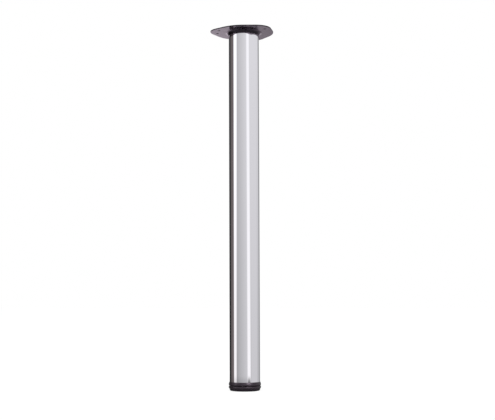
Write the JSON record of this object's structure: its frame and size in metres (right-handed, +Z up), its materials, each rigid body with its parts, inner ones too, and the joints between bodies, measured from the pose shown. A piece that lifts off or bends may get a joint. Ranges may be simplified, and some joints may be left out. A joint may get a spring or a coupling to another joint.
{
  "type": "table leg",
  "caption": "Round chromed table leg with a black three-lobed mounting plate on top and a black levelling foot that screws in and out.",
  "frame": {"origin": "on the tube's axis, at the floor face of the foot screwed fully in", "axes": "+Z up along the tube, +Y towards the middle of one lobe of the plate"},
  "size_m": [0.1244, 0.126, 0.71],
  "materials": {
    "chrome": "polished chrome plating",
    "plate_coating": "smooth black coating, half gloss",
    "black_plastic": "moulded, satin",
    "zinc_steel": "zinc plated",
    "bare_steel": "pressed, oiled"
  },
  "bodies": {
    "leg": {"mounting_plate": "plate_coating", "tube": "chrome", "centre_bolt": "zinc_steel", "bolt_washer": "zinc_steel", "tube_cup": "bare_steel", "weld_nut": "bare_steel", "foot_socket": "black_plastic", "socket_nut": "zinc_steel"},
    "stud": {"foot_stud": "zinc_steel"},
    "foot": {"foot_disc": "black_plastic"}
  },
  "joints": [
    {"name": "foot_travel", "type": "slide", "parent": "leg", "child": "stud", "axis": [0, 0, -1], "range_m": [0, 0.02]},
    {"name": "foot_turn", "type": "hinge", "parent": "stud", "child": "foot", "pos_m": [0, 0, 0], "axis": [0, 0, -1], "range_deg": [0, 4800]}
  ],
  "couplings": [
    {"joint": "foot_travel", "follows": "foot_turn", "m_per_rad": 0.00023873}
  ]
}
